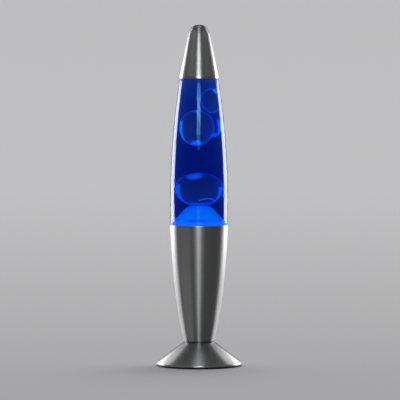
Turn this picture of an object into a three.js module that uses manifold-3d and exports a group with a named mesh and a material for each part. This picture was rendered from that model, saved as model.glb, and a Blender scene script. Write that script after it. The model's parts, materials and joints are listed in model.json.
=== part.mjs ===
// A lava lamp: a spun aluminium foot and base, a torpedo-shaped glass bottle of liquid and wax that
// stands in the base above a reflector bulb, and a bullet-shaped aluminium cap.
// Millimetres, +Z up, origin on the lamp's axis where it stands on the table, +Y to the back.
import * as THREE from "three";
import { mergeVertices } from "three/addons/utils/BufferGeometryUtils.js";
import Module from "manifold-3d";

const wasm = await Module();
wasm.setup();

// ---------------------------------------------------------------- driving dimensions
const GAP = 0.3; // between two pieces that touch
const FINE = 32; // sides of the large round pieces
const COARSE = 16; // sides of the small round pieces
const SMALLEST = 8; // sides of screws and posts

const FOOT = {
  padHeight: 1.6,
  padInner: 33.5,
  padOuter: 42,
  rimBottom: 1.6,
  rimRadius: 43.25,
  coneBottom: 3.6,
  coneRadius: 43,
  neckHeight: 24.15,
  neckRadius: 15.3,
  wall: 1,
};
const COVER = { bottom: 1.9, thickness: 1.5, radius: 41, screwCircle: 30, screws: 3 };
const GLAND = { height: 9.5, radius: 3.2, bore: 2.4, flange: 4.6, inner: 24, outer: 39.8 };
const NIPPLE = { bottom: 16, top: 33.6, radius: 5, bore: 3.6, nutAcrossFlats: 14 };
const BASE = { bottom: 24.45, lipHeight: 142, lipRadius: 29.6, slope: 0.04, flare: 6.25e-5, wall: 0.8 };
const SEAT = { ledgeBottom: 115.5, ringBottom: 118, top: 121.7, inner: 21, outer: 27.2 };
const GLOBE = {
  bottom: 122,
  widest: 29.1,
  widestHeight: 165,
  bow: 788, // radius of the side's long arc
  wall: 2.5,
  lowerArc: 143,
  upperArc: 288,
  top: 308,
};
const LIQUID_LEVEL = 291;
const POOL = {
  edgeHeight: 145.5,
  foot: [17, 147.4], // where the mound starts to rise from the flat wax round it
  shoulder: [9.2, 159.6],
  centreHeight: 160,
};
const COIL = { ringRadius: 17, sectionRadius: 2, height: 128.7 };
const CAP = { bottom: 289.2, edgeRadius: 20.1, noseStart: 329, noseRadius: 11.9, top: 342.8, wall: 0.6 };
const BULB = { threadBottom: 46.3, threadPitch: 2.82, widest: 19.5, top: 106.1 };

// Each blob of wax: its middle, its radii, and how far it rises while the wax circulates.
const BLOBS = {
  a: { centre: [0, 0, 177.6], radii: [17.3, 17.3, 17.1], rise: 14 },
  b: { centre: [-2, -6.3, 239], radii: [14.4, 10.5, 17.7], rise: -12 },
  c: { centre: [7.8, 9.9, 238.5], radii: [5.8, 6.2, 9.8], rise: -12 },
  d: { centre: [9.6, -2, 266.2], radii: [8.5, 9, 12.4], rise: -12 },
};

// ---------------------------------------------------------------- materials
function material(color, roughness, metalness, opacity = 1) {
  return new THREE.MeshStandardMaterial({
    color,
    roughness,
    metalness,
    opacity,
    transparent: opacity < 1,
  });
}
const ALUMINIUM = material(0xb4b6b8, 0.35, 1);
const STEEL = material(0x9a9c9e, 0.4, 1);
const BRASS = material(0xc09a4a, 0.35, 1);
const RUBBER = material(0x161616, 0.8, 0);
const BLACK_PLASTIC = material(0x1c1c1e, 0.5, 0);
const WHITE_PLASTIC = material(0xe6e4de, 0.45, 0);
const CERAMIC = material(0xe4dccb, 0.4, 0);
const CLEAR_GLASS = material(0xe8f0ff, 0.03, 0, 0.3);
const BULB_GLASS = material(0xe6e8ea, 0.2, 0, 0.6);
const LIQUID = material(0x0a2f8c, 0.05, 0, 0.6);
const WAX = material(0x0f62e6, 0.4, 0);
const LEAD_BROWN = material(0x5a2f1a, 0.5, 0);
const LEAD_BLUE = material(0x2a4d8f, 0.5, 0);
const LINER = material(0x8a8c90, 0.6, 0);

// ---------------------------------------------------------------- shapes
const lamp = new THREE.Group();

function add(name, geometry, look, place = [0, 0, 0]) {
  const mesh = new THREE.Mesh(geometry, look);
  mesh.name = name;
  mesh.position.set(...place);
  lamp.add(mesh);
}

// A closed outline of [radius, height] points, turned about the lamp's axis.
function turned(outline, sides = FINE) {
  const points = outline.map(([radius, height]) => new THREE.Vector2(radius, height));
  if (THREE.ShapeUtils.isClockWise(points)) points.reverse();
  const first = points[0];
  const last = points[points.length - 1];
  if (first.x > 0 || last.x > 0) points.push(first.clone());
  return new THREE.LatheGeometry(points, sides).rotateX(Math.PI / 2);
}

function ring(inner, outer, bottom, top, sides = FINE) {
  return turned([[inner, bottom], [outer, bottom], [outer, top], [inner, top]], sides);
}

function disc(radius, bottom, top, sides = FINE) {
  return turned([[0, bottom], [radius, bottom], [radius, top], [0, top]], sides);
}

// Points along a curve given as radius(height).
function along(radius, from, to, steps) {
  return Array.from({ length: steps + 1 }, (_, i) => {
    const height = from + ((to - from) * i) / steps;
    return [radius(height), height];
  });
}

function plate(outline, holes, bottom, thickness, sides = FINE) {
  const shape = new THREE.Shape(outline);
  for (const [x, y, radius] of holes) {
    shape.holes.push(new THREE.Path().absarc(x, y, radius, 0, 2 * Math.PI, true));
  }
  const geometry = new THREE.ExtrudeGeometry(shape, {
    depth: thickness,
    bevelEnabled: false,
    curveSegments: sides,
  });
  return geometry.translate(0, 0, bottom);
}

function polygon(radius, sides, turn = 0) {
  return Array.from({ length: sides }, (_, i) => {
    const angle = turn + (2 * Math.PI * i) / sides;
    return new THREE.Vector2(radius * Math.cos(angle), radius * Math.sin(angle));
  });
}

function rectangle(width, depth) {
  const [x, y] = [width / 2, depth / 2];
  return [[-x, -y], [x, -y], [x, y], [-x, y]].map(([a, b]) => new THREE.Vector2(a, b));
}

function wire(points, radius, steps, sides = 8) {
  const path = new THREE.CatmullRomCurve3(points.map((p) => new THREE.Vector3(...p)));
  const section = new THREE.Shape(polygon(radius, sides));
  return new THREE.ExtrudeGeometry(section, { extrudePath: path, steps, bevelEnabled: false });
}

// An ellipsoid, or where travel isn't 0 the space that it sweeps as it rises by travel.
function ellipsoid(centre, radii, travel = 0, grow = 0) {
  const [x, y, z] = radii.map((radius) => radius + grow);
  const steps = 10;
  const outline = [];
  for (let i = 0; i <= steps; i += 1) {
    const angle = (Math.PI * i) / steps - Math.PI / 2;
    const lift = i <= steps / 2 ? Math.min(travel, 0) : Math.max(travel, 0);
    outline.push([Math.max(0, Math.cos(angle)), z * Math.sin(angle) + lift]);
    if (i === steps / 2 && travel !== 0) outline.push([1, Math.max(travel, 0)]);
  }
  outline[0][0] = 0;
  outline[outline.length - 1][0] = 0;
  return turned(outline, COARSE).scale(x, y, 1).translate(...centre);
}

// A narrow straight passage, so that no space in the liquid is sealed off.
function channel(from, to) {
  const start = new THREE.Vector3(...from);
  const run = new THREE.Vector3(...to).sub(start);
  const turn = new THREE.Quaternion().setFromUnitVectors(
    new THREE.Vector3(0, 0, 1),
    run.clone().normalize(),
  );
  return disc(1, 0, run.length(), SMALLEST).applyQuaternion(turn).translate(...from);
}

// ---------------------------------------------------------------- booleans
function toSolid(geometry) {
  const bare = geometry.clone();
  bare.deleteAttribute("normal");
  bare.deleteAttribute("uv");
  const merged = mergeVertices(bare, 1e-4);
  return new wasm.Manifold(
    new wasm.Mesh({
      numProp: 3,
      vertProperties: new Float32Array(merged.attributes.position.array),
      triVerts: new Uint32Array(merged.index.array),
    }),
  );
}

function cut(geometry, ...tools) {
  const result = tools.reduce((body, tool) => body.subtract(toSolid(tool)), toSolid(geometry));
  const { vertProperties, triVerts } = result.getMesh();
  const cutGeometry = new THREE.BufferGeometry();
  cutGeometry.setAttribute("position", new THREE.BufferAttribute(vertProperties, 3));
  cutGeometry.setIndex(new THREE.BufferAttribute(triVerts, 1));
  cutGeometry.computeVertexNormals();
  return cutGeometry;
}

// ---------------------------------------------------------------- outlines
const glassRadius = (height) =>
  GLOBE.widest - (height - GLOBE.widestHeight) ** 2 / (2 * GLOBE.bow);
const boreRadius = (height) => glassRadius(height) - GLOBE.wall;

function baseRadius(height) {
  const drop = BASE.lipHeight - height;
  return BASE.lipRadius - BASE.slope * drop - BASE.flare * drop ** 2.5;
}

function capOutline(inset) {
  const side = new THREE.CubicBezierCurve(
    new THREE.Vector2(CAP.edgeRadius, CAP.bottom),
    new THREE.Vector2(17.55, 301.7),
    new THREE.Vector2(14.9, 315.2),
    new THREE.Vector2(CAP.noseRadius, CAP.noseStart),
  );
  const nose = new THREE.CubicBezierCurve(
    new THREE.Vector2(CAP.noseRadius, CAP.noseStart),
    new THREE.Vector2(10.4, 336.2),
    new THREE.Vector2(8.6, CAP.top),
    new THREE.Vector2(0, CAP.top),
  );
  const points = [...side.getPoints(4), ...nose.getPoints(6).slice(1)];
  return points.map(({ x, y }) => [Math.max(0, x - inset), y === CAP.bottom ? y : y - inset]);
}

// ---------------------------------------------------------------- foot
function foot() {
  const { wall, neckRadius, neckHeight, coneRadius, coneBottom, rimRadius, rimBottom } = FOOT;
  const shell = turned([
    [NIPPLE.radius + GAP, neckHeight - wall],
    [neckRadius - wall, neckHeight - wall],
    [coneRadius - 1.6, coneBottom - 0.1],
    [coneRadius - 0.9, rimBottom],
    [rimRadius - 0.2, rimBottom],
    [rimRadius, 2.5],
    [coneRadius, coneBottom],
    [neckRadius + 0.5, neckHeight - 0.4],
    [neckRadius, neckHeight],
    [NIPPLE.radius + GAP, neckHeight],
  ]);
  const cordHole = new THREE.CylinderGeometry(GLAND.radius + GAP, GLAND.radius + GAP, 30, COARSE);
  cordHole.translate(0, 35, GLAND.height);
  add("foot_shell", cut(shell, cordHole), ALUMINIUM);
  add("foot_pad", ring(FOOT.padInner, FOOT.padOuter, 0, FOOT.padHeight), RUBBER);
}

function bottomCover() {
  const screwRadius = 1.2;
  const postTop = 9.3;
  const coverTop = COVER.bottom + COVER.thickness;
  const places = Array.from({ length: COVER.screws }, (_, i) => {
    const angle = Math.PI / 6 + (2 * Math.PI * i) / COVER.screws;
    return [COVER.screwCircle * Math.cos(angle), COVER.screwCircle * Math.sin(angle)];
  });
  const holes = places.map(([x, y]) => [x, y, screwRadius + GAP]);
  const cover = plate(polygon(COVER.radius, FINE), holes, COVER.bottom, COVER.thickness, 8);
  add("bottom_cover", cover, BLACK_PLASTIC);
  const post = turned(
    [
      [0, postTop - 1],
      [screwRadius + GAP, postTop - 1],
      [screwRadius + GAP, coverTop + GAP],
      [3.2, coverTop + GAP],
      [3.2, postTop],
      [0, postTop],
    ],
    SMALLEST,
  );
  const screw = turned(
    [
      [0, 0.5],
      [1.9, 0.5],
      [2.8, 1],
      [2.8, FOOT.padHeight],
      [screwRadius, FOOT.padHeight],
      [screwRadius, postTop - 1.6],
      [0, postTop - 1.3],
    ],
    SMALLEST,
  );
  places.forEach(([x, y], i) => {
    add(`cover_post_${i + 1}`, post.clone(), STEEL, [x, y, 0]);
    add(`cover_screw_${i + 1}`, screw.clone(), STEEL, [x, y, 0]);
  });
}

// The gland lines the hole in the back of the foot that the mains lead goes in by.
function cordGland() {
  const { inner, outer, radius, bore, flange, height } = GLAND;
  const gland = turned(
    [
      [bore, inner],
      [flange, inner],
      [flange, inner + 1.5],
      [radius, inner + 1.5],
      [radius, outer - 0.8],
      [radius - 0.6, outer],
      [bore, outer],
    ],
    COARSE,
  );
  add("cord_gland", gland.rotateX(-Math.PI / 2).translate(0, 0, height), BLACK_PLASTIC);
}

function terminalBlock() {
  const [width, depth, bottom, height] = [20, 12, 3.8, 9.4];
  const middle = -16;
  const wells = [-5, 5].flatMap((x) => [-3, 3].map((y) => [x, y, 1.9]));
  const block = plate(rectangle(width, depth), wells, bottom, height, 6);
  add("terminal_block", block, WHITE_PLASTIC, [0, middle, 0]);
  wells.forEach(([x, y], i) => {
    const screw = disc(1.6, bottom + 4, bottom + height - 1, SMALLEST);
    add(`terminal_screw_${i + 1}`, screw, BRASS, [x, middle + y, 0]);
  });
}

// ---------------------------------------------------------------- nipple that joins foot and base
function nipple() {
  const { radius, bore, bottom, top, nutAcrossFlats } = NIPPLE;
  add("threaded_nipple", ring(bore, radius, bottom, top, COARSE), STEEL);
  const corner = nutAcrossFlats / Math.sqrt(3);
  const nut = (from, thickness) =>
    plate(polygon(corner, 6), [[0, 0, radius + GAP]], from, thickness, 12);
  add("washer_lower", ring(radius + GAP, 10, 21.85, 22.85, COARSE), STEEL);
  add("nut_lower", nut(17.55, 4), STEEL);
  add("washer_upper", ring(radius + GAP, 10, 25.55, 26.35, COARSE), STEEL);
  add("nut_upper", nut(26.65, 2.8), STEEL);
}

// ---------------------------------------------------------------- base
function base() {
  const { bottom, lipHeight, lipRadius, wall } = BASE;
  const floor = bottom + wall;
  const lipInner = glassRadius(lipHeight) + GAP;
  const outer = along(baseRadius, bottom + 0.6, lipHeight - 0.5, 10);
  const inner = along((z) => baseRadius(z) - wall, floor + 0.6, lipHeight - 4, 8);
  const shell = turned([
    [NIPPLE.radius + GAP, bottom],
    [baseRadius(bottom) - 0.4, bottom],
    ...outer,
    [lipRadius - 0.1, lipHeight],
    [lipInner, lipHeight],
    [lipInner - 0.2, lipHeight - 2],
    ...inner.reverse(),
    [baseRadius(floor) - wall - 0.6, floor],
    [NIPPLE.radius + GAP, floor],
  ]);
  add("base_shell", shell, ALUMINIUM);
}

function globeSeat() {
  const { ledgeBottom, ringBottom, top, inner, outer } = SEAT;
  add("seat_ledge", ring(outer - 1.8, outer, ledgeBottom, ringBottom - GAP), STEEL);
  const seat = turned([
    [inner, ringBottom],
    [outer, ringBottom],
    [outer, top + 5.5],
    [outer - 0.9, top + 5.5],
    [outer - 1.3, top],
    [inner, top],
  ]);
  add("seat_ring", seat, RUBBER);
}

// ---------------------------------------------------------------- lampholder
function lampholder() {
  const cap = turned(
    [
      [NIPPLE.radius + GAP, 29.8],
      [7.4, 29.8],
      [7.8, 31.2],
      [12.6, 33.4],
      [13.8, 35],
      [13.8, 40],
      [12.4, 40],
      [12.4, 35.6],
      [7.4, 32.6],
      [NIPPLE.radius + GAP, 32.6],
    ],
    COARSE,
  );
  add("holder_cap", cap, BLACK_PLASTIC);
  const insert = turned(
    [
      [0, 36.5],
      [11.6, 36.5],
      [11.6, 39.4],
      [10.2, 39.4],
      [10.2, 56],
      [8.1, 56],
      [8.1, 39.5],
      [0, 39.5],
    ],
    COARSE,
  );
  add("holder_insert", insert, CERAMIC);
  const sleeve = turned(
    [
      [13.6, 40.3],
      [13.6, 44],
      [12.4, 45.6],
      [12.4, 61.5],
      [10.6, 61.5],
      [10.6, 45],
      [11.9, 43.4],
      [11.9, 40.3],
    ],
    COARSE,
  );
  add("holder_sleeve", sleeve, BLACK_PLASTIC);
  add("holder_thread", ring(7.25, 7.75, 42, 57, COARSE), BRASS);
  const contact = turned([[0, 39.8], [3, 39.8], [2.6, 40.7], [1.2, 41.3], [0, 41.3]], SMALLEST);
  add("holder_contact", contact, BRASS);
  for (const [name, side] of [["live", -1], ["neutral", 1]]) {
    const clamp = plate(rectangle(4, 4), [], 34.7, 1.5, 4);
    add(`holder_clamp_${name}`, clamp, BRASS, [side * 7, 0, 0]);
  }
}

// Two leads run from the terminal block up through the nipple to the lampholder.
function leads() {
  for (const [name, side, look] of [["live", -1, LEAD_BROWN], ["neutral", 1, LEAD_BLUE]]) {
    const route = [
      [side * 5, -9.6, 8.7],
      [side * 4.4, -6, 8.7],
      [side * 2.4, -1.6, 10.4],
      [side * 1.6, 0, 15],
      [side * 1.6, 0, 24],
      [side * 1.6, 0, 32.4],
      [side * 2.6, 0, 34.7],
      [side * 4.6, 0, 35.1],
    ];
    add(`lead_${name}`, wire(route, 0.8, 18, 6), look);
  }
}

// ---------------------------------------------------------------- reflector bulb
function bulb() {
  const { threadBottom, threadPitch } = BULB;
  const tip = turned([[0, 41.6], [1.4, 41.8], [2.3, 42.5], [2.3, 43], [0, 43]], COARSE);
  add("bulb_tip", tip, STEEL);
  const insulator = turned([[0, 43.3], [2.8, 43.3], [5.9, 45.6], [5.9, 46], [0, 46]], COARSE);
  add("bulb_insulator", insulator, BLACK_PLASTIC);
  const thread = [];
  for (let turn = 0; turn < 4; turn += 1) {
    thread.push([6.85, threadBottom + 1.6 + threadPitch * turn]);
    thread.push([6.45, threadBottom + 3 + threadPitch * turn]);
  }
  const screwShell = turned(
    [
      [3, threadBottom],
      [6.2, threadBottom],
      ...thread,
      [8.4, 59.8],
      [8.4, 62.2],
      [8.05, 62.2],
      [8.05, 60.1],
      [6, 58.2],
      [6, threadBottom + 0.4],
      [3, threadBottom + 0.4],
    ],
    COARSE,
  );
  add("bulb_screw_shell", screwShell, BRASS);

  // A reflector envelope: a narrow neck, a flaring mirror and a shallow crown.
  const envelope = (inset) => {
    const flare = new THREE.CubicBezierCurve(
      new THREE.Vector2(7.7 - inset, 62.4),
      new THREE.Vector2(9.6 - inset, 72),
      new THREE.Vector2(BULB.widest - inset, 78),
      new THREE.Vector2(BULB.widest - inset, 92),
    );
    const crown = new THREE.CubicBezierCurve(
      new THREE.Vector2(BULB.widest - inset, 92),
      new THREE.Vector2(BULB.widest - inset, 101),
      new THREE.Vector2(12, BULB.top - inset),
      new THREE.Vector2(0, BULB.top - inset),
    );
    const points = [...flare.getPoints(5), ...crown.getPoints(5).slice(1)];
    return [[5.6 - inset, 54], [5.6 - inset, 58.2], ...points.map(({ x, y }) => [x, y])];
  };
  const glass = turned([...envelope(0), ...envelope(0.8).reverse()], COARSE);
  add("bulb_glass", glass, BULB_GLASS);
  const stem = [[0, 50], [1.6, 50], [4.4, 53], [4.4, 54.5], [1.6, 60], [1.4, 72], [0, 72.5]];
  add("bulb_stem", turned(stem, SMALLEST), CLEAR_GLASS);
  const filament = [
    [-2.2, 0, 70],
    [-5.4, 0, 82],
    [-4, 3, 84.6],
    [0, 4.4, 85.2],
    [4, 3, 84.6],
    [5.4, 0, 82],
    [2.2, 0, 70],
  ];
  add("bulb_filament", wire(filament, 0.35, 14, 6), STEEL);
}

// ---------------------------------------------------------------- bottle
function globe() {
  const { bottom, wall, lowerArc, upperArc, top } = GLOBE;
  const glass = turned([
    [0, bottom + 2.4],
    [9, bottom + 2],
    [16, bottom + 0.6],
    [19.5, bottom],
    [22.6, bottom + 0.4],
    [24.9, bottom + 3.2],
    [26.4, bottom + 8],
    [27.6, bottom + 14],
    ...along(glassRadius, lowerArc, upperArc, 8),
    [19.15, CAP.bottom],
    [17.9, 292],
    [15.6, 296.4],
    [12.9, 299.6],
    [12.2, 301.8],
    [12.2, 303.6],
    [13, 304.4],
    [13, top - 0.6],
    [12.4, top],
    [10, top],
    [9.4, top - 0.8],
    [9.4, 301.6],
    [10.8, 298.2],
    [13.8, 294.6],
    [15.6, 291.6],
    ...along(boreRadius, lowerArc, upperArc, 8).reverse(),
    [25.1, bottom + 14],
    [23.9, bottom + 9],
    [22.2, bottom + 5.4],
    [19.5, bottom + 4],
    [9, bottom + 4.8],
    [0, bottom + 5],
  ]);
  add("globe_glass", glass, CLEAR_GLASS);

  const crown = turned([
    [0, top + 1.4],
    [12.9, top + 1.4],
    [13.35, top + 0.6],
    [13.35, 305],
    [14.1, 303.6],
    [14.5, 303.8],
    [13.85, 305.4],
    [13.85, top + 1],
    [13.2, top + 1.8],
    [0, top + 1.8],
  ]);
  add("bottle_crown", crown, STEEL);
  add("crown_liner", disc(12.4, top + GAP, top + 1.1, COARSE), LINER);
  const { ringRadius, sectionRadius, height } = COIL;
  const section = polygon(sectionRadius, 8, Math.PI / 8).map(({ x, y }) => [ringRadius + x, height + y]);
  add("warming_coil", turned(section), STEEL);
}

function liquidAndWax() {
  const { bottom, upperArc, lowerArc } = GLOBE;
  const { edgeHeight, foot: moundFoot, shoulder, centreHeight } = POOL;
  const coil = COIL.sectionRadius + GAP;
  const mound = (lift) => [
    [boreRadius(edgeHeight) - GAP, edgeHeight + lift],
    [moundFoot[0] + 3, moundFoot[1] - 1 + lift],
    [moundFoot[0], moundFoot[1] + lift],
    [shoulder[0], shoulder[1] + lift],
    [shoulder[0] - 2, centreHeight + lift],
    [0, centreHeight + lift],
  ];
  const pool = turned([
    [0, bottom + 5 + GAP],
    [9, bottom + 4.8 + GAP],
    [COIL.ringRadius - coil, bottom + 4.5],
    [COIL.ringRadius - coil, COIL.height + coil],
    [COIL.ringRadius + coil, COIL.height + coil],
    [COIL.ringRadius + coil, bottom + 4.4],
    [21.9, bottom + 5.9],
    [23.6, bottom + 9.2],
    [24.8, bottom + 14],
    [boreRadius(lowerArc) - GAP, lowerArc],
    ...mound(0),
  ]);
  add("wax_pool", pool, WAX);

  const side = along((z) => boreRadius(z) - GAP, edgeHeight + GAP, upperArc, 8);
  const body = turned([
    ...side,
    [15.3, LIQUID_LEVEL],
    [0, LIQUID_LEVEL],
    ...mound(GAP).reverse().slice(0, -1),
  ]);
  const spaces = Object.values(BLOBS).map(({ centre, radii, rise }) =>
    ellipsoid(centre, radii, rise, GAP),
  );
  const { a, b, c, d } = BLOBS;
  const inPool = [0, 0, centreHeight - 1];
  const channels = [[inPool, a.centre], [a.centre, b.centre], [b.centre, c.centre], [b.centre, d.centre]];
  add("liquid", cut(body, ...spaces, ...channels.map(([from, to]) => channel(from, to))), LIQUID);
  for (const [letter, { centre, radii }] of Object.entries(BLOBS)) {
    add(`wax_blob_${letter}`, ellipsoid(centre, radii), WAX);
  }
}

// ---------------------------------------------------------------- cap
function topCap() {
  add("top_cap", turned([...capOutline(0), ...capOutline(CAP.wall).reverse()]), ALUMINIUM);
}

foot();
bottomCover();
cordGland();
terminalBlock();
nipple();
base();
globeSeat();
lampholder();
leads();
bulb();
globe();
liquidAndWax();
topCap();

export default lamp;
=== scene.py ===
"""The lava lamp's looks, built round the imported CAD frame: turned shells, glass, liquid and wax."""
import json
import math

import bmesh
import bpy
from mathutils import Matrix, Vector


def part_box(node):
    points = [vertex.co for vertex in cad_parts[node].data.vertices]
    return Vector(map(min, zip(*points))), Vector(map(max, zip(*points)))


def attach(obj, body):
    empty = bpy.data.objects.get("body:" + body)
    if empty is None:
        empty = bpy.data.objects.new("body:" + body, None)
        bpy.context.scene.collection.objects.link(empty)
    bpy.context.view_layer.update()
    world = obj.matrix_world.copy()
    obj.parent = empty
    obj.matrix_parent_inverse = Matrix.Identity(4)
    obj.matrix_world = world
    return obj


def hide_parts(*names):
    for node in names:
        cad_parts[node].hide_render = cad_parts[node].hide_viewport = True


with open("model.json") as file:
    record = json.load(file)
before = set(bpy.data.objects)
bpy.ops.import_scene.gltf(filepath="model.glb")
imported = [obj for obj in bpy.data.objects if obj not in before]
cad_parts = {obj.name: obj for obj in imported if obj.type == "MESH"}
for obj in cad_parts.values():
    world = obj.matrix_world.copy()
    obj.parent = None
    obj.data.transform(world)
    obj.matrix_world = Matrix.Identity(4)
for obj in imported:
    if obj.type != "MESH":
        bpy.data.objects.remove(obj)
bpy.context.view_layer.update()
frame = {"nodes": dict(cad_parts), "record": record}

MM = 0.001
FINE = 160  # sides of the large turned pieces
COARSE = 72  # sides of the small turned pieces
CREASE = 35  # degrees: edges sharper than this stay sharp


# ---------------------------------------------------------------- camera
def make_camera():
    distance, elevation, width_seen = 3.6, math.radians(2.8), 0.402
    target = Vector((0.0009, 0, 0.1668))
    data = bpy.data.cameras.new("camera")
    data.sensor_width = 36
    data.lens = data.sensor_width * distance / width_seen
    camera = bpy.data.objects.new("camera", data)
    back = Vector((0, -math.cos(elevation), math.sin(elevation)))
    camera.location = target + distance * back
    camera.rotation_euler = (-back).to_track_quat("-Z", "Y").to_euler()
    bpy.context.scene.collection.objects.link(camera)
    bpy.context.scene.camera = camera


make_camera()
bpy.context.scene.view_settings.view_transform = "Standard"


# ---------------------------------------------------------------- dimensions, in millimetres
def box_mm(node):
    low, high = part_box(node)
    return [value / MM for value in low], [value / MM for value in high]


GLASS_LOW, GLASS_HIGH = box_mm("globe_glass")
CAP_LOW, CAP_HIGH = box_mm("top_cap")
BASE_LOW, BASE_HIGH = box_mm("base_shell")
FOOT_LOW, FOOT_HIGH = box_mm("foot_shell")
PAD_HIGH = box_mm("foot_pad")[1]
SEAT_HIGH = box_mm("seat_ring")[1]
BULB_HIGH = box_mm("bulb_glass")[1]
SHELL_LOW, SHELL_HIGH = box_mm("bulb_screw_shell")
GLAND_LOW, GLAND_HIGH = box_mm("cord_gland")

GLASS = {
    "bottom": GLASS_LOW[2],
    "top": GLASS_HIGH[2],
    "widest": 29.1,
    "widest_height": 165,
    "bow": 788,
    "wall": 2.5,
    "arc_from": 142,
    "arc_to": 288,
}
LIQUID_LEVEL = 291
CAP_WALL = 0.6
BASE_TAPER, BASE_CURVE = 0.04, 6.25e-5  # a straight taper, and a curve that grows with the drop to the 2.5
NIPPLE_HOLE = 5.3
THREAD_PITCH = 2.82


def glass_radius(height):
    return GLASS["widest"] - (height - GLASS["widest_height"]) ** 2 / (2 * GLASS["bow"])


def base_radius(height):
    drop = BASE_HIGH[2] - height
    return BASE_HIGH[0] - BASE_TAPER * drop - BASE_CURVE * drop**2.5


# ---------------------------------------------------------------- outlines and meshes
def along(radius, start, end, steps):
    heights = [start + (end - start) * i / steps for i in range(steps + 1)]
    return [(radius(height), height) for height in heights]


def bezier(a, b, c, d, steps):
    points = []
    for i in range(steps + 1):
        t = i / steps
        weights = ((1 - t) ** 3, 3 * t * (1 - t) ** 2, 3 * t * t * (1 - t), t**3)
        points.append(tuple(sum(w * p[k] for w, p in zip(weights, (a, b, c, d))) for k in (0, 1)))
    return points


def rounded(outline, radius):
    """The closed outline with each sharp corner turned into a small arc."""
    straight, steps = math.radians(20), 4
    points = [Vector(point) for point in outline]
    count = len(points)
    result = []
    for i, here in enumerate(points):
        before = points[i - 1] - here
        after = points[(i + 1) % count] - here
        turn = math.pi - before.angle(after)
        if turn < straight:
            result.append(tuple(here))
            continue
        reach = min(radius * math.tan(turn / 2), before.length * 0.45, after.length * 0.45)
        start = here + before.normalized() * reach
        end = here + after.normalized() * reach
        for k in range(steps + 1):
            t = k / steps
            result.append(tuple(start * (1 - t) ** 2 + here * (2 * t * (1 - t)) + end * t * t))
    return result


def object_from(name, mesh, looks, body, replaced):
    mesh.shade_smooth()
    mesh.set_sharp_from_angle(angle=math.radians(CREASE))
    piece = bpy.data.objects.new(name, mesh)
    for look in looks if isinstance(looks, list) else [looks]:
        mesh.materials.append(look)
    bpy.context.scene.collection.objects.link(piece)
    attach(piece, body)
    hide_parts(*replaced)
    return piece


def turned_mesh(name, outline, sides, twist, second):
    """A closed body turned about the lamp's axis. A radius of 0 closes on the axis.

    twist(angle, radius, height) may move a point. Bands whose number is in second take the second look.
    """
    build = bmesh.new()
    rings = []
    for radius, height in outline:
        if radius < 1e-6:
            rings.append([build.verts.new((0, 0, height * MM))])
            continue
        ring = []
        for i in range(sides):
            angle = 2 * math.pi * i / sides
            r, z = twist(angle, radius, height) if twist else (radius, height)
            ring.append(build.verts.new((r * math.cos(angle) * MM, r * math.sin(angle) * MM, z * MM)))
        rings.append(ring)
    closed = len(rings[0]) > 1 or len(rings[-1]) > 1
    pairs = list(zip(rings, rings[1:]))
    if closed:
        pairs.append((rings[-1], rings[0]))
    for band, (lower, upper) in enumerate(pairs):
        for i in range(sides):
            j = (i + 1) % sides
            if len(lower) == 1:
                face = build.faces.new((lower[0], upper[i], upper[j]))
            elif len(upper) == 1:
                face = build.faces.new((lower[i], upper[0], lower[j]))
            else:
                face = build.faces.new((lower[i], upper[i], upper[j], lower[j]))
            face.material_index = 1 if band in second else 0
    bmesh.ops.recalc_face_normals(build, faces=build.faces)
    mesh = bpy.data.meshes.new(name)
    build.to_mesh(mesh)
    build.free()
    return mesh


def turned(name, outline, looks, body, replaced, sides=FINE, twist=None, second=(), place=None):
    mesh = turned_mesh(name, outline, sides, twist, second)
    if place:
        mesh.transform(place)
    return object_from(name, mesh, looks, body, replaced)


def moved(x, y, z):
    return Matrix.Translation((x * MM, y * MM, z * MM))


def ring_of_wire(name, path, radius, sides):
    """A round wire along a closed path of points in millimetres."""
    build = bmesh.new()
    points = [Vector(point) for point in path]
    count = len(points)
    rings = []
    for i, here in enumerate(points):
        ahead = (points[(i + 1) % count] - points[i - 1]).normalized()
        side = ahead.cross(Vector((0, 0, 1))).normalized()
        up = side.cross(ahead)
        ring = []
        for k in range(sides):
            angle = 2 * math.pi * k / sides
            spoke = math.cos(angle) * side + math.sin(angle) * up
            ring.append(build.verts.new((here + radius * spoke) * MM))
        rings.append(ring)
    for i in range(count):
        lower, upper = rings[i], rings[(i + 1) % count]
        for k in range(sides):
            j = (k + 1) % sides
            build.faces.new((lower[k], lower[j], upper[j], upper[k]))
    bmesh.ops.recalc_face_normals(build, faces=build.faces)
    mesh = bpy.data.meshes.new(name)
    build.to_mesh(mesh)
    build.free()
    return mesh


def drill(piece, radius, start, end):
    """Cuts a straight round hole through a piece, from start to end in millimetres."""
    start, end = Vector(start), Vector(end)
    build = bmesh.new()
    bmesh.ops.create_cone(
        build,
        cap_ends=True,
        segments=48,
        radius1=radius * MM,
        radius2=radius * MM,
        depth=(end - start).length * MM,
    )
    mesh = bpy.data.meshes.new("drill")
    build.to_mesh(mesh)
    build.free()
    aim = (end - start).to_track_quat("Z", "Y").to_matrix().to_4x4()
    mesh.transform(Matrix.Translation((start + end) / 2 * MM) @ aim)
    cut_away(piece, mesh)


def cut_away(piece, tool_mesh):
    tool = bpy.data.objects.new("tool", tool_mesh)
    bpy.context.scene.collection.objects.link(tool)
    cut = piece.modifiers.new("cut", "BOOLEAN")
    cut.object = tool
    cut.solver = "EXACT"
    bpy.context.view_layer.update()
    result = bpy.data.meshes.new_from_object(piece.evaluated_get(bpy.context.evaluated_depsgraph_get()))
    piece.modifiers.clear()
    piece.data = result
    bpy.data.objects.remove(tool)


# ---------------------------------------------------------------- material building
def new_look(name):
    look = bpy.data.materials.new(name)
    look.use_nodes = True
    return look, look.node_tree, look.node_tree.nodes["Principled BSDF"]


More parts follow.
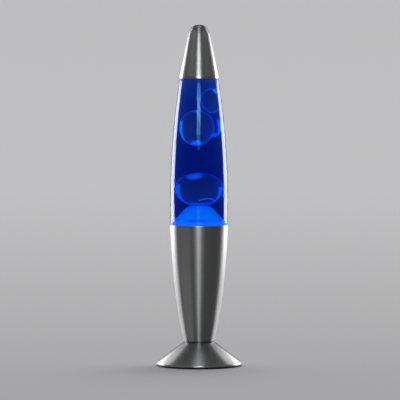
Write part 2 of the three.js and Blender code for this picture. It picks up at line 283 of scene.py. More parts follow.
def add_node(tree, kind, settings=None, inputs=None):
    node = tree.nodes.new(kind)
    for key, value in (settings or {}).items():
        setattr(node, key, value)
    for key, value in (inputs or {}).items():
        if isinstance(value, bpy.types.NodeSocket):
            tree.links.new(value, node.inputs[key])
        else:
            node.inputs[key].default_value = value
    return node


def object_place(tree):
    return add_node(tree, "ShaderNodeTexCoord").outputs["Object"]


def ramp(tree, value, stops):
    node = add_node(tree, "ShaderNodeValToRGB", inputs={"Fac": value})
    elements = node.color_ramp.elements
    while len(elements) < len(stops):
        elements.new(0.5)
    for element, (place, colour) in zip(elements, stops):
        element.position = place
        element.color = (*colour, 1)
    return node.outputs["Color"]


def noise(tree, place, scale, detail):
    node = add_node(
        tree,
        "ShaderNodeTexNoise",
        inputs={"Vector": place, "Scale": scale, "Detail": detail, "Roughness": 0.55},
    )
    return node.outputs["Fac"]


def span(tree, value, low, high):
    node = add_node(
        tree, "ShaderNodeMapRange", inputs={"Value": value, "To Min": low, "To Max": high}
    )
    return node.outputs["Result"]


def bump(tree, shader, height, strength, distance):
    node = add_node(
        tree,
        "ShaderNodeBump",
        inputs={"Height": height, "Strength": strength, "Distance": distance},
    )
    tree.links.new(node.outputs["Normal"], shader.inputs["Normal"])


def turning_lines(tree, place):
    """Stretches the object's coordinates so that a noise makes fine lines round the axis."""
    across, up = 5, 900
    node = add_node(
        tree, "ShaderNodeMapping", inputs={"Vector": place, "Scale": (across, across, up)}
    )
    return node.outputs["Vector"]


def metal(name, dark, light, roughness, anisotropy=0.0):
    """Turned metal: fine lines round the axis, faint cloudy patches and a satin sheen."""
    look, tree, shader = new_look(name)
    place = object_place(tree)
    lines = noise(tree, turning_lines(tree, place), 1, 3)
    clouds = noise(tree, place, 45, 3)
    mixed = add_node(
        tree,
        "ShaderNodeMix",
        {"data_type": "FLOAT"},
        {"Factor": 0.4, "A": lines, "B": clouds},
    ).outputs["Result"]
    colour = ramp(tree, mixed, [(0.3, dark), (0.7, light)])
    tree.links.new(colour, shader.inputs["Base Color"])
    tree.links.new(span(tree, mixed, roughness - 0.05, roughness + 0.05), shader.inputs["Roughness"])
    bump(tree, shader, lines, strength=0.05, distance=0.00005)
    shader.inputs["Metallic"].default_value = 1
    shader.inputs["Anisotropic"].default_value = anisotropy
    shader.inputs["Anisotropic Rotation"].default_value = 0.25
    tangent = add_node(tree, "ShaderNodeTangent", {"direction_type": "RADIAL", "axis": "Z"})
    tree.links.new(tangent.outputs["Tangent"], shader.inputs["Tangent"])
    return look


def plastic(name, dark, light, roughness, scale=900, strength=0.12):
    """Moulded plastic, rubber or ceramic with a fine grain."""
    look, tree, shader = new_look(name)
    place = object_place(tree)
    grain = noise(tree, place, scale, 3)
    clouds = noise(tree, place, 60, 2)
    colour = ramp(tree, clouds, [(0.3, dark), (0.7, light)])
    tree.links.new(colour, shader.inputs["Base Color"])
    tree.links.new(span(tree, grain, roughness - 0.06, roughness + 0.06), shader.inputs["Roughness"])
    bump(tree, shader, grain, strength, 0.00008)
    return look


def clear_glass(name, tint, roughness=0.0):
    look, tree, shader = new_look(name)
    place = object_place(tree)
    waves = noise(tree, place, 16, 1)
    shader.inputs["Base Color"].default_value = (*tint, 1)
    shader.inputs["Transmission Weight"].default_value = 1
    shader.inputs["IOR"].default_value = 1.42
    shader.inputs["Roughness"].default_value = roughness
    shader.inputs["Specular Tint"].default_value = (0.2, 0.6, 1, 1)
    bump(tree, shader, waves, strength=0.001, distance=0.0004)
    return look


def wetted(name):
    """A face that liquid covers, or the liquid's own skin: it neither bends nor mirrors light."""
    look, tree, shader = new_look(name)
    shader.inputs["Base Color"].default_value = (1, 1, 1, 1)
    shader.inputs["Transmission Weight"].default_value = 1
    shader.inputs["IOR"].default_value = 1
    shader.inputs["Roughness"].default_value = 0
    return look, tree


def dyed_liquid():
    look, tree = wetted("dyed_liquid")
    volume = add_node(
        tree,
        "ShaderNodeVolumeAbsorption",
        inputs={"Color": (0.02, 0.36, 0.84, 1), "Density": 145.0},
    )
    output = tree.nodes["Material Output"]
    tree.links.new(volume.outputs["Volume"], output.inputs["Volume"])
    return look


def math_node(tree, operation, first, second):
    node = add_node(tree, "ShaderNodeMath", {"operation": operation}, {0: first, 1: second})
    return node.outputs["Value"]


def vector_node(tree, operation, first, second):
    node = add_node(tree, "ShaderNodeVectorMath", {"operation": operation}, {0: first, 1: second})
    return node.outputs["Value" if operation == "DOT_PRODUCT" else "Vector"]


def smooth_step(tree, value, start, full):
    node = add_node(
        tree,
        "ShaderNodeMapRange",
        {"interpolation_type": "SMOOTHSTEP"},
        {"Value": value, "From Min": start, "From Max": full},
    )
    return node.outputs["Result"]


def blob_wax(name, middle, half, glints, crescent_highlights, highlight_lines, glow):
    """Molten wax in a blob: a thin clear skin with a painted glow, so that its rim is brighter than its
    middle.

    glints and crescents are painted highlights, standing in for the bulb's light that the skin gathers. A
    glint has a direction from the blob's middle, the cosine where it starts and the cosine where it's full.
    A crescent has a side (-1 for -x, 1 for +x), how far it reaches round, and its lower and upper end. A
    thin line is a painted highlight
    too: part of a circle about a direction, at a cosine, with its width and the x it starts at.
    """
    look, tree, shader = new_look(name)
    tree.nodes.remove(shader)
    place = vector_node(tree, "DIVIDE", vector_node(tree, "SUBTRACT", object_place(tree), middle), half)
    unevenness = 0.06
    mean = unevenness / 2
    ripples = math_node(tree, "MULTIPLY", noise(tree, place, 2.2, 3), unevenness)
    unit = vector_node(tree, "NORMALIZE", place, (0, 0, 0))
    level = vector_node(tree, "NORMALIZE", vector_node(tree, "MULTIPLY", place, (1, 1, 0)), (0, 0, 0))
    split = add_node(tree, "ShaderNodeSeparateXYZ", inputs={"Vector": place})
    across, height = split.outputs["X"], split.outputs["Z"]
    shares = []
    # Painted glints: emission patches about a direction, standing in for the bulb's light.
    for direction, start, full in glints:
        cosine = vector_node(tree, "DOT_PRODUCT", unit, Vector(direction).normalized())
        rippled = math_node(tree, "ADD", cosine, ripples)
        shares.append(smooth_step(tree, rippled, start + mean, full + mean))
    # Painted crescent highlights down the skin's left or right side.
    for side, reach, low, high in crescent_highlights:
        cosine = vector_node(tree, "DOT_PRODUCT", level, (side, -0.08, 0))
        round_it = smooth_step(tree, math_node(tree, "ADD", cosine, ripples), reach + mean, 1)
        rising = smooth_step(tree, height, low, low + 0.3)
        falling = smooth_step(tree, height, high, high - 0.12)
        shares.append(math_node(tree, "MULTIPLY", round_it, math_node(tree, "MULTIPLY", rising, falling)))
    # Thin painted highlight lines.
    for direction, cosine_at, width, start in highlight_lines:
        cosine = vector_node(tree, "DOT_PRODUCT", unit, Vector(direction).normalized())
        away = math_node(tree, "ABSOLUTE", math_node(tree, "SUBTRACT", cosine, cosine_at), 0)
        line = smooth_step(tree, away, width, 0)
        shares.append(math_node(tree, "MULTIPLY", line, smooth_step(tree, across, start, start + 0.2)))
    # All the painted highlights together, over a faint painted glow everywhere.
    share = 0.01
    for part in shares:
        share = math_node(tree, "MAXIMUM", part, share)
    clear = add_node(
        tree, "ShaderNodeBsdfTransparent", inputs={"Color": (0.55, 0.55, 0.68, 1)}
    ).outputs["BSDF"]
    # Painted highlight colour and strength: greener and stronger for a blob whose painted glow is raised.
    highlight_colour, highlight_strength = (0.01, 0.27 * glow**1.3, 1, 1), 1.15 * glow**0.4
    lit = add_node(
        tree, "ShaderNodeEmission", inputs={"Color": highlight_colour, "Strength": highlight_strength}
    ).outputs["Emission"]
    skin = add_node(
        tree,
        "ShaderNodeMixShader",
        inputs={"Fac": math_node(tree, "MULTIPLY", share, 0.9), 1: clear, 2: lit},
    ).outputs["Shader"]
    # Painted glow: the skin's volume emits blue light in place of the bulb's light scattered in the wax.
    body = add_node(
        tree, "ShaderNodeEmission", inputs={"Color": (0.08, 0.27, 1, 1), "Strength": 620 * glow}
    ).outputs["Emission"]
    output = tree.nodes["Material Output"]
    tree.links.new(skin, output.inputs["Surface"])
    tree.links.new(body, output.inputs["Volume"])
    return look


def pool_wax():
    """The warm wax at the bottom of the bottle, with a painted glow all through, lighter towards the top of
    its mound.
    """
    look, tree, shader = new_look("pool_wax")
    place = object_place(tree)
    clouds = noise(tree, place, 70, 3)
    height = add_node(tree, "ShaderNodeSeparateXYZ", inputs={"Vector": place}).outputs["Z"]
    # Painted glow: the emission's colour is set by height, lighter near the top, with cloudy random
    # variation.
    low = add_node(
        tree,
        "ShaderNodeMapRange",
        inputs={"Value": height, "From Min": 0.1455, "From Max": 0.160, "To Min": 0.88, "To Max": 0.45},
    ).outputs["Result"]
    mixed = add_node(
        tree, "ShaderNodeMath", {"operation": "MULTIPLY_ADD"}, {0: clouds, 1: 0.25, 2: low}
    ).outputs["Value"]
    glow = ramp(tree, mixed, [(0.58, (0, 0.42, 0.92)), (0.92, (0, 0.29, 0.85)), (1, (0, 0.095, 0.76))])
    tree.links.new(glow, shader.inputs["Emission Color"])
    shader.inputs["Emission Strength"].default_value = 1.3
    shader.inputs["Base Color"].default_value = (0.003, 0.06, 0.5, 1)
    shader.inputs["Roughness"].default_value = 0.35
    bump(tree, shader, clouds, strength=0.3, distance=0.0005)
    return look


def bulb_envelope():
    """Thin clear-frosted glass, silvered inside over its flare."""
    look, tree, shader = new_look("bulb_envelope")
    place = object_place(tree)
    height = add_node(tree, "ShaderNodeSeparateXYZ", inputs={"Vector": place}).outputs["Z"]
    grain = noise(tree, place, 300, 2)
    silver = add_node(
        tree,
        "ShaderNodeMapRange",
        inputs={"Value": height, "From Min": 0.0935, "From Max": 0.0965, "To Min": 1, "To Max": 0},
    ).outputs["Result"]
    tree.links.new(silver, shader.inputs["Metallic"])
    colour = ramp(tree, silver, [(0.2, (0.9, 0.9, 0.86)), (0.8, (0.75, 0.75, 0.76))])
    tree.links.new(colour, shader.inputs["Base Color"])
    tree.links.new(span(tree, grain, 0.15, 0.3), shader.inputs["Roughness"])
    glow = ramp(tree, silver, [(0.2, (1, 0.82, 0.55)), (0.8, (0, 0, 0))])
    tree.links.new(glow, shader.inputs["Emission Color"])
    shader.inputs["Emission Strength"].default_value = 2.5
    return look


LOOKS = {
    "aluminium": metal("spun_aluminium", (0.36, 0.365, 0.37), (0.43, 0.435, 0.44), 0.32, 0.5),
    "steel": metal("zinc_steel", (0.42, 0.43, 0.44), (0.58, 0.59, 0.6), 0.38, 0.2),
    "brass": metal("brass", (0.55, 0.38, 0.13), (0.72, 0.52, 0.22), 0.34, 0.2),
    "pad": plastic("black_rubber", (0.012, 0.012, 0.012), (0.022, 0.022, 0.022), 0.75, 700, 0.4),
    "black_plastic": plastic("black_plastic", (0.012, 0.012, 0.013), (0.02, 0.02, 0.022), 0.42),
    "white_plastic": plastic("white_plastic", (0.72, 0.7, 0.66), (0.8, 0.78, 0.74), 0.38),
    "ceramic": plastic("steatite", (0.7, 0.66, 0.58), (0.8, 0.76, 0.68), 0.3, 500, 0.08),
    "globe_glass": clear_glass("bottle_glass", (0.985, 0.99, 1.0)),
    "wetted_wall": wetted("wetted_wall")[0],
    "liquid": dyed_liquid(),
    "wax": pool_wax(),
    "bulb_glass": bulb_envelope(),
    "stem": clear_glass("stem_glass", (0.96, 0.97, 0.96), 0.02),
    "liner": plastic("liner", (0.5, 0.5, 0.52), (0.6, 0.6, 0.62), 0.6),
    "lead_brown": plastic("brown_pvc", (0.09, 0.03, 0.015), (0.12, 0.045, 0.02), 0.4),
    "lead_blue": plastic("blue_pvc", (0.02, 0.08, 0.35), (0.03, 0.11, 0.45), 0.4),
    "tungsten": metal("tungsten", (0.3, 0.29, 0.28), (0.4, 0.38, 0.36), 0.4),
}


# ---------------------------------------------------------------- pieces
def cap_outline(inset):
    """The cap's side from its edge to the middle of its nose, inset by the wall's thickness."""
    edge, bottom, top = CAP_HIGH[0] - inset, CAP_LOW[2], CAP_HIGH[2] - inset
    side = bezier(
        (edge, bottom), (17.55 - inset, 301.7), (14.9 - inset, 315.2), (11.9 - inset, 329), 24
    )
    nose = bezier((11.9 - inset, 329), (10.4 - inset, 336.2), (8.6 - inset, top), (0, top), 24)
    return side + nose[1:]


def make_cap():
    hem = [(CAP_HIGH[0] - 0.55, CAP_LOW[2] + 0.1), (CAP_HIGH[0] - 0.3, CAP_LOW[2])]
    outline = list(reversed(cap_outline(CAP_WALL))) + hem + cap_outline(0)[1:]
    turned("cap_shell", outline, LOOKS["aluminium"], "top_cap", ["top_cap"])


def make_base():
    bottom, lip, wall = BASE_LOW[2], BASE_HIGH[2], 0.8
    outer = along(base_radius, bottom + 0.5, lip - 1.2, 60)
    inner = along(lambda z: base_radius(z) - wall, bottom + wall + 0.6, lip - 4, 50)
    mouth = glass_radius(lip) + 0.3
    outline = [
        (NIPPLE_HOLE, bottom),
        (base_radius(bottom) - 0.9, bottom),
        (base_radius(bottom) - 0.2, bottom + 0.12),
        *outer,
        (base_radius(lip), lip - 0.5),
        (base_radius(lip) - 0.12, lip - 0.1),
        (base_radius(lip) - 0.3, lip),
        (mouth, lip - 0.1),
        (mouth - 0.1, lip - 2),
        *reversed(inner),
        (base_radius(bottom) - wall - 0.6, bottom + wall),
        (NIPPLE_HOLE, bottom + wall),
    ]
    turned("base_spun_shell", outline, LOOKS["aluminium"], "base", ["base_shell"])


def make_foot():
    top, rim, sheet = FOOT_HIGH[2], FOOT_HIGH[0], 1
    cord_hole, hole_from, hole_to = 3.45, 24, 44
    outline = [
        (NIPPLE_HOLE, top - sheet),
        (14.3, top - sheet),
        (41.4, 3.5),
        (42.35, FOOT_LOW[2]),
        *bezier((rim - 0.5, FOOT_LOW[2]), (rim, FOOT_LOW[2]), (rim, 2.2), (rim - 0.15, 2.9), 8),
        (rim - 0.45, 3.55),
        (16.1, top - 0.6),
        (15.6, top - 0.3),
        (15.1, top),
        (NIPPLE_HOLE, top),
    ]
    piece = turned("foot_spun_shell", outline, LOOKS["aluminium"], "base", ["foot_shell"])
    hole_height = (GLAND_LOW[2] + GLAND_HIGH[2]) / 2
    drill(piece, cord_hole, (0, hole_from, hole_height), (0, hole_to, hole_height))


def make_pad():
    inner, outer, top = 33.5, PAD_HIGH[0], PAD_HIGH[2]
    outline = rounded([(inner, 0), (outer, 0), (outer, top), (inner, top)], 0.4)
    turned("pad_ring", outline, LOOKS["pad"], "base", ["foot_pad"])


def glass_outline():
    bottom, top, wall = GLASS["bottom"], GLASS["top"], GLASS["wall"]
    low, high = GLASS["arc_from"], GLASS["arc_to"]
    outer = [
        (0, bottom + 2.4),
        (9, bottom + 2),
        (16, bottom + 0.6),
        (19.5, bottom),
        (22.6, bottom + 0.4),
        (24.9, bottom + 3.2),
        (26.3, bottom + 8),
        (27.2, bottom + 12),
        (27.9, bottom + 15.5),
        (28.4, bottom + 18),
        *along(glass_radius, low, high, 70),
        (19.15, 289.2),
        (17.9, 292),
        (15.6, 296.4),
        (12.9, 299.6),
        (12.2, 301.8),
        (12.2, 303.6),
        (13, 304.4),
        (13, top - 0.6),
        (12.4, top),
    ]
    inner = [
        (10, top),
        (9.4, top - 0.8),
        (9.4, 301.6),
        (10.8, 298.2),
        (13.8, 294.6),
        (15.6, 291.6),
        (15.85, LIQUID_LEVEL - 0.05),
        *along(lambda z: glass_radius(z) - wall, high, low, 70),
        (25.1, bottom + 14),
        (23.9, bottom + 9),
        (22.2, bottom + 5.4),
        (19.5, bottom + 4),
        (9, bottom + 4.8),
        (0, bottom + 5),
    ]
    return outer, inner


def make_bottle():
    outer, inner = glass_outline()
    bands = enumerate(inner[:-1], start=len(outer))
    wet = [number for number, (_, height) in bands if height < LIQUID_LEVEL]
    looks = [LOOKS["globe_glass"], LOOKS["wetted_wall"]]
    turned("bottle", outer + inner, looks, "globe", ["globe_glass"], second=wet)


def make_liquid():
    """The liquid meets the glass: its skin is sunk a little into the wall, so no air shows between them."""
    bottom, wall = GLASS["bottom"], GLASS["wall"]
    sink = 0.15
    outline = [
        (0, bottom + 5 - sink),
        (9, bottom + 4.8 - sink),
        (19.5, bottom + 4 - sink),
        (22.3, bottom + 5.3),
        (24.05, bottom + 9),
        (25.25, bottom + 14),
        *along(lambda z: glass_radius(z) - wall + sink, GLASS["arc_from"], GLASS["arc_to"], 70),
        (15.9, LIQUID_LEVEL),
        (0, LIQUID_LEVEL),
    ]
    turned("dyed_liquid", outline, LOOKS["liquid"], "globe", ["liquid"])


def make_pool():
    """The wax fills the bottle's floor round the coil and rises to a mound in the middle."""
    bottom, low = GLASS["bottom"], GLASS["arc_from"]
    brim = bezier((25.9, 145.3), (21, 146), (18.4, 145.9), (16.6, 148), 10)
    crest = bezier((13.2, 153.6), (10.4, 158.2), (8.6, 160.6), (6.2, 160.95), 12)
    dish = bezier((6.2, 160.95), (4, 160.4), (3, 160.2), (0, 160.1), 6)
    outline = [
        (0, bottom + 5.3),
        (9, bottom + 5.1),
        (14.6, bottom + 4.7),
        (14.6, bottom + 9.2),
        (19.4, bottom + 9.2),
        (19.4, bottom + 4.6),
        (21.9, bottom + 5.9),
        (23.6, bottom + 9.2),
        (24.8, bottom + 14),
        (glass_radius(low) - 2.8, low),
        *brim,
        *crest,
        *dish[1:],
    ]
    turned("wax_mound", outline, LOOKS["wax"], "globe", ["wax_pool"])


# For each blob: its painted highlights (glints, crescents and thin lines), and how much its painted glow is
# raised to show through the dye. They are placed to look right from the front.
BLOBS = {
    "a": {
        "glints": [((-0.22, -0.42, 0.9), 0.87, 1), ((0, 0, -1), 0.7, 0.95)],
        "crescent_highlights": [(-1, 0.945, -0.95, 0.36), (1, 0.953, -1, 0.2)],
        "highlight_lines": [((0.3, -0.5, -1), 0.88, 0.03, -0.12)],
        "glow": 1,
    },
    "b": {
        "glints": [((0, -0.42, -0.92), 0.9, 0.99), ((0, -0.1, 1), 0.94, 1)],
        "crescent_highlights": [(-1, 0.925, -0.85, 0.45)],
        "highlight_lines": [],
        "glow": 1,
    },
    "c": {
        "glints": [((0.1, -0.3, -1), 0.66, 0.94)],
        "crescent_highlights": [(1, 0.7, -1, 0.85)],
        "highlight_lines": [],
        "glow": 1.8,
    },
    "d": {
        "glints": [((0.5, -0.3, 0.85), 0.9, 1), ((-0.2, 0, 1), 0.94, 1)],
        "crescent_highlights": [],
        "highlight_lines": [],
        "glow": 1,
    },
}


def make_blob(letter):
    """A blob of molten wax: the CAD ellipsoid's size, with a soft uneven skin that's thicker below, so its
    painted glow is brighter there.
    """
    node = f"wax_blob_{letter}"
    low, high = (Vector(corner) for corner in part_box(node))
    middle, half = (low + high) / 2, (high - low) / 2
    skin, inner_lift = 0.26 * MM, 0.1 * MM
    build = bmesh.new()
    for inside in (False, True):
        ball = bmesh.ops.create_icosphere(build, subdivisions=5, radius=1)["verts"]
        for vert in ball:
            place = vert.co.copy()
            wobble = 1 - 0.012 * (1 + math.sin(3 * place.x + 2 * place.z) * math.cos(2.5 * place.y))
            reach = [half[k] * wobble - (skin if inside else 0) for k in range(3)]
            vert.co = middle + Vector(reach[k] * place[k] for k in range(3))
            # Lifting the inner side thickens the glowing skin below, which brightens its painted glow
            # there.
            vert.co.z += inner_lift if inside else 0
        if inside:
            bmesh.ops.reverse_faces(build, faces=list({face for vert in ball for face in vert.link_faces}))
    mesh = bpy.data.meshes.new(node)
    build.to_mesh(mesh)
    build.free()
    look = blob_wax(f"blob_wax_{letter}", middle, half, **BLOBS[letter])
    object_from(f"blob_{letter}", mesh, look, f"wax_{letter}", [node])


def make_coil():
    """The warming coil: a long spring of wire bent into a ring, lying in the wax on the floor."""
    low, high = box_mm("warming_coil")
    wire, turns, steps = 0.4, 66, 10
    height = (low[2] + high[2]) / 2
    section = (high[2] - low[2]) / 2 - wire
    ring = high[0] - section - wire
    path = []
    for i in range(turns * steps):
        along_ring = 2 * math.pi * i / (turns * steps)
        round_wire = turns * along_ring
        radius = ring + section * math.cos(round_wire)
        path.append(
            (
                radius * math.cos(along_ring),
                radius * math.sin(along_ring),
                height + section * math.sin(round_wire),
            )
        )
    mesh = ring_of_wire("coil_of_wire", path, wire, 6)
    object_from("coil_of_wire", mesh, LOOKS["steel"], "globe", ["warming_coil"])


def make_seat():
    bottom, step, top, inner, outer = 118, 121.7, SEAT_HIGH[2], 21, 27.2
    corners = [(inner, bottom), (outer, bottom), (outer, top), (26.3, top), (25.9, step), (inner, step)]
    outline = rounded(corners, 0.5)
    turned("bottle_seat", outline, LOOKS["pad"], "base", ["seat_ring"])


def make_crown():
    """A pressed crown closure: 21 flutes round its skirt."""
    top, flutes = GLASS["top"], 21
    outline = [
        (0, top + 1.4),
        (12.9, top + 1.4),
        (13.35, top + 0.6),
        (13.35, 305),
        (14.1, 303.6),
        (14.5, 303.8),
        (13.85, 305.4),
        (13.85, top + 1),
        (13.2, top + 1.8),
        (0, top + 1.8),
    ]

    def fluted(angle, radius, height):
        depth = min(1, max(0, (top - height) / 4))
        return radius + 0.18 * depth * math.cos(flutes * angle), height

    sides = flutes * 12
    turned("crown_closure", outline, LOOKS["steel"], "globe", ["bottle_crown"], sides, fluted)


def make_bulb():
    widest, top, wall, neck, bottom = BULB_HIGH[0], BULB_HIGH[2], 0.8, 5.6, 54

    def envelope(inset):
        side = widest - inset
        flare = bezier((7.7 - inset, 62.4), (9.6 - inset, 72), (side, 78), (side, 92), 20)
        crown = bezier((side, 92), (side, 101), (12, top - inset), (0, top - inset), 20)
        return [(neck - inset, bottom), (neck - inset, 58.2), *flare, *crown[1:]]

    outline = envelope(wall)[::-1] + envelope(0)
    turned("bulb_envelope", outline, LOOKS["bulb_glass"], "bulb", ["bulb_glass"], COARSE)


def make_screw_shell():
    """The bulb's brass shell, with a real rolled thread."""
    bottom, top, wall, barrel, collar = SHELL_LOW[2], SHELL_HIGH[2], 0.35, 6.6, 8.4
    thread_top, thread_depth, run_out = bottom + 12.4, 0.22, 1.5
    outer = along(lambda z: barrel, bottom + 0.8, thread_top, 60)
    inner = along(lambda z: barrel - wall, bottom + 0.8, thread_top, 60)
    outline = [
        (3, bottom),
        (5.9, bottom),
        *outer,
        (collar, bottom + 13.5),
        (collar, top),
        (collar - wall, top),
        (collar - wall, bottom + 13.8),
        *reversed(inner),
        (5.7, bottom + wall),
        (3, bottom + wall),
    ]

    def threaded(angle, radius, height):
        if not bottom + 0.7 < height < thread_top + 0.1 or radius > 7:
            return radius, height
        fade = min(1, (height - bottom - 0.7) / run_out, (thread_top - height + 0.1) / run_out)
        wave = math.cos(2 * math.pi * height / THREAD_PITCH - angle)
        return radius + thread_depth * fade * wave, height

    turned("screw_cap", outline, LOOKS["brass"], "bulb", ["bulb_screw_shell"], COARSE, threaded)


def make_gland():
    """The moulded gland that lines the cord's hole: a collar at its inner end, with a rounded mouth."""
    bore, barrel, inner, outer = 2.4, (GLAND_HIGH[0] - GLAND_LOW[0]) / 2, GLAND_LOW[1], GLAND_HIGH[1]
    height = (GLAND_LOW[2] + GLAND_HIGH[2]) / 2
    mouth = bezier((3.2, outer - 0.9), (3.2, outer - 0.2), (3, outer), (2.7, outer), 5)
    outline = [
        (bore, inner),
        (barrel - 0.3, inner),
        (barrel, inner + 0.3),
        (barrel, inner + 1.2),
        (barrel - 0.3, inner + 1.5),
        (3.2, inner + 1.5),
        *mouth,
        (bore + 0.1, outer - 0.1),
        (bore, outer - 0.5),
    ]
    lying = Matrix.Translation((0, 0, height * MM)) @ Matrix.Rotation(-math.pi / 2, 4, "X")
    turned("gland", outline, LOOKS["black_plastic"], "base", ["cord_gland"], COARSE, place=lying)


def make_cover():
    """The cover under the foot: a moulded disc with raised rings and a recess round each screw."""
    low, high = box_mm("bottom_cover")
    radius, bottom, top, screw_hole = high[0], low[2], high[2], 1.5
    outline = [(0, bottom + 0.3), (8, bottom + 0.3), (8.4, bottom)]
    for ring in (14, 20, 26, 32):
        outline += [(ring - 0.5, bottom), (ring, bottom + 0.35), (ring + 0.5, bottom)]
    outline += [
        (radius - 0.5, bottom),
        (radius, bottom + 0.4),
        (radius, top),
        (0, top),
    ]
    piece = turned("cover_disc", outline, LOOKS["black_plastic"], "base", ["bottom_cover"])
    for number in (1, 2, 3):
        (x0, y0, _), (x1, y1, _) = box_mm(f"cover_screw_{number}")
        x, y = (x0 + x1) / 2, (y0 + y1) / 2
        drill(piece, screw_hole, (x, y, bottom - 1), (x, y, top + 1))
        make_screw(number, x, y)


def make_screw(number, x, y):
    """A pan-head screw with a cross recess."""
    low, high = box_mm(f"cover_screw_{number}")
    head, shank, bottom, top = (high[0] - low[0]) / 2, 1.2, low[2], high[2]
    dome = bezier((0, bottom), (1.6, bottom), (head, bottom + 0.2), (head, bottom + 0.8), 8)
    outline = [*dome, (head, 1.6), (shank, 1.6), (shank, top - 1), (0.3, top), (0, top)]
    replaced = [f"cover_screw_{number}"]
    place = moved(x, y, 0)
    piece = turned(f"screw_{number}", outline, LOOKS["steel"], "base", replaced, 48, place=place)
    for turn in (0.3, 0.3 + math.pi / 2):
        slot(piece, x, y, bottom, turn)


def slot(piece, x, y, bottom, turn):
    """Cuts one arm of the cross recess."""
    build = bmesh.new()
    bmesh.ops.create_cube(build, size=1)
    mesh = bpy.data.meshes.new("slot")
    build.to_mesh(mesh)
    build.free()
    size = Matrix.Diagonal((2.9 * MM, 0.55 * MM, 1.5 * MM, 1))
    mesh.transform(moved(x, y, bottom) @ Matrix.Rotation(turn, 4, "Z") @ size)
    cut_away(piece, mesh)


def keep_cad_nodes():
    """Gives each CAD node that stays in view its own procedural look."""
    slots = {row["node"]: row["material_slot"] for row in frame["record"]["subparts"]}
    special = {"bulb_stem": "stem"}
    for node, piece in frame["nodes"].items():
        look = LOOKS[special.get(node, slots[node])]
        if not piece.material_slots:
            piece.data.materials.append(look)
        for holder in piece.material_slots:
            holder.material = look


# ---------------------------------------------------------------- stage and light
def make_floor():
    """A pale floor that sweeps gently upwards far behind the lamp."""
    size, flat, back, steps, gentleness = 40, 4, 10, 24, 16
    profile = [(-size, 0)]
    for i in range(steps + 1):
        y = flat + (back - flat) * i / steps
        profile.append((y, (y - flat) ** 2 / gentleness))
    points = [(x, y, z) for y, z in profile for x in (-size, size)]
    faces = [(2 * i, 2 * i + 1, 2 * i + 3, 2 * i + 2) for i in range(len(profile) - 1)]
    mesh = bpy.data.meshes.new("floor")
    mesh.from_pydata(points, [], faces)
    mesh.shade_smooth()
    floor = bpy.data.objects.new("floor", mesh)
    look, _, shader = new_look("pale_floor")
    shader.inputs["Base Color"].default_value = (0.62, 0.62, 0.63, 1)
    shader.inputs["Roughness"].default_value = 0.7
    shader.inputs["Specular IOR Level"].default_value = 0
    mesh.materials.append(look)
    bpy.context.scene.collection.objects.link(floor)
    floor.visible_glossy = False


def area_light(name, place, target, width, tall, radiance, seen_by, colour=(1, 1, 1)):
    """An area light at place that faces target; only the kinds of ray in seen_by see it."""
    data = bpy.data.lights.new(name, "AREA")
    data.shape = "RECTANGLE"
    data.size = width
    data.size_y = tall
    data.energy = radiance * math.pi * width * tall
    data.color = colour
    light = bpy.data.objects.new(name, data)
    light.location = place
    light.rotation_euler = (Vector(target) - Vector(place)).to_track_quat("-Z", "Y").to_euler()
    light.visible_camera = False
    for kind in ("diffuse", "glossy", "transmission"):
        setattr(light, f"visible_{kind}", kind in seen_by)
    bpy.context.scene.collection.objects.link(light)


def softbox(name, azimuth, distance, bottom, top, width, radiance, colour=(1, 1, 1)):
    """A softbox that faces the lamp's axis and shows in its gloss. Azimuth 0 is the camera's side."""
    angle, height = math.radians(azimuth), (bottom + top) / 2
    place = (distance * math.sin(angle), -distance * math.cos(angle), height)
    area_light(name, place, (0, 0, height), width, top - bottom, radiance, ["glossy"], colour)


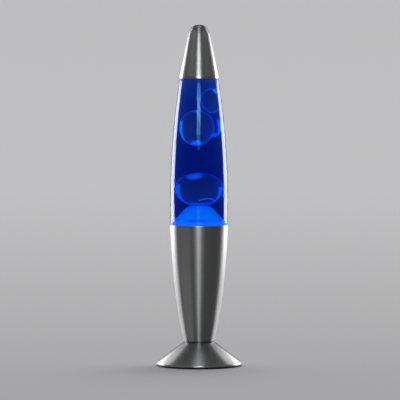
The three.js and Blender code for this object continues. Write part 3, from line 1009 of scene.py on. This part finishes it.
def make_lights():
    # Wide soft bands at the metal's heights; the ones at the bottle's height brighten inwards,
    # where the glass mirrors less.
    lavender = (0.95, 0.88, 1)
    for side in (-1, 1):
        for part, bottom, top, start, end, radiance, colour in (
            ("low", -0.5, 0.07, 104, 160, 1.0, (1, 1, 1)),
            ("bottle_outer", 0.07, 0.41, 151, 160, 1.0, (1, 1, 1)),
            ("bottle_middle", 0.07, 0.41, 139, 151, 4.5, lavender),
            ("bottle_inner", 0.07, 0.41, 128, 139, 7.5, lavender),
            ("bottle_edge", 0.07, 0.41, 117, 128, 9.5, lavender),
            ("high_outer", 0.41, 0.53, 150, 160, 0.7, (1, 1, 1)),
            ("high", 0.41, 0.53, 112, 150, 1.5, (1, 1, 1)),
            ("top_outer", 0.53, 1.1, 140, 160, 0.4, (1, 1, 1)),
            ("top", 0.53, 1.1, 112, 140, 1.3, (1, 1, 1)),
        ):
            width = 2 * math.tan(math.radians(end - start) / 2)
            azimuth = side * (start + end) / 2
            softbox(f"side_{part}_{side}", azimuth, 1.0, bottom, top, width, radiance, colour)
    # The front strip shows on the upper half of the bottle and fades downwards.
    for part, bottom, top, width, radiance in (
        ("low", -0.9, 0.09, 0.3, 1.0),
        ("faint", 0.345, 0.37, 0.28, 2),
        ("fading", 0.37, 0.42, 0.3, 4),
        ("half", 0.42, 0.48, 0.38, 8),
        ("bright", 0.48, 0.6, 0.42, 13),
        ("upper", 0.6, 0.66, 0.46, 7.5),
        ("high", 0.66, 1.3, 0.36, 0.9),
    ):
        softbox(f"front_{part}", -2, 1.3, bottom, top, width, radiance)
    # Faint fills for the metal only.
    softbox("left_low", -62, 1.3, -0.9, 0.06, 1.3, 0.17)
    softbox("left_high", -62, 1.3, 0.76, 1.5, 1.3, 0.28)
    softbox("right_high", 62, 1.3, 0.76, 1.5, 1.3, 0.17)
    area_light("tilted_strip", (-0.05, -0.92, 1.52), (0, 0, 0.33), 0.4, 1.1, 1.0, ["glossy"])
    area_light("overhead_strip", (0, 0.3, 1.2), (0, 0.3, 0), 0.34, 1.2, 0.4, ["glossy"])
    area_light("ceiling", (0, 11.5, 3), (0, 11.5, 0), 12, 23, 0.55, ["diffuse"])
    sun = bpy.data.lights.new("overhead", "SUN")
    sun.energy = 1.0
    sun.angle = math.radians(40)
    light = bpy.data.objects.new("overhead", sun)
    light.rotation_euler = (math.radians(-18), math.radians(6), 0)
    light.visible_glossy = False
    bpy.context.scene.collection.objects.link(light)
    world = bpy.data.worlds.new("studio")
    bpy.context.scene.world = world
    world.use_nodes = True
    world.node_tree.nodes["Background"].inputs["Color"].default_value = (0.1, 0.1, 0.1, 1)


keep_cad_nodes()
make_cap()
make_base()
make_foot()
make_pad()
make_bottle()
make_liquid()
make_pool()
for blob in "abcd":
    make_blob(blob)
make_seat()
make_crown()
make_coil()
make_bulb()
make_screw_shell()
make_gland()
make_cover()
make_floor()
make_lights()
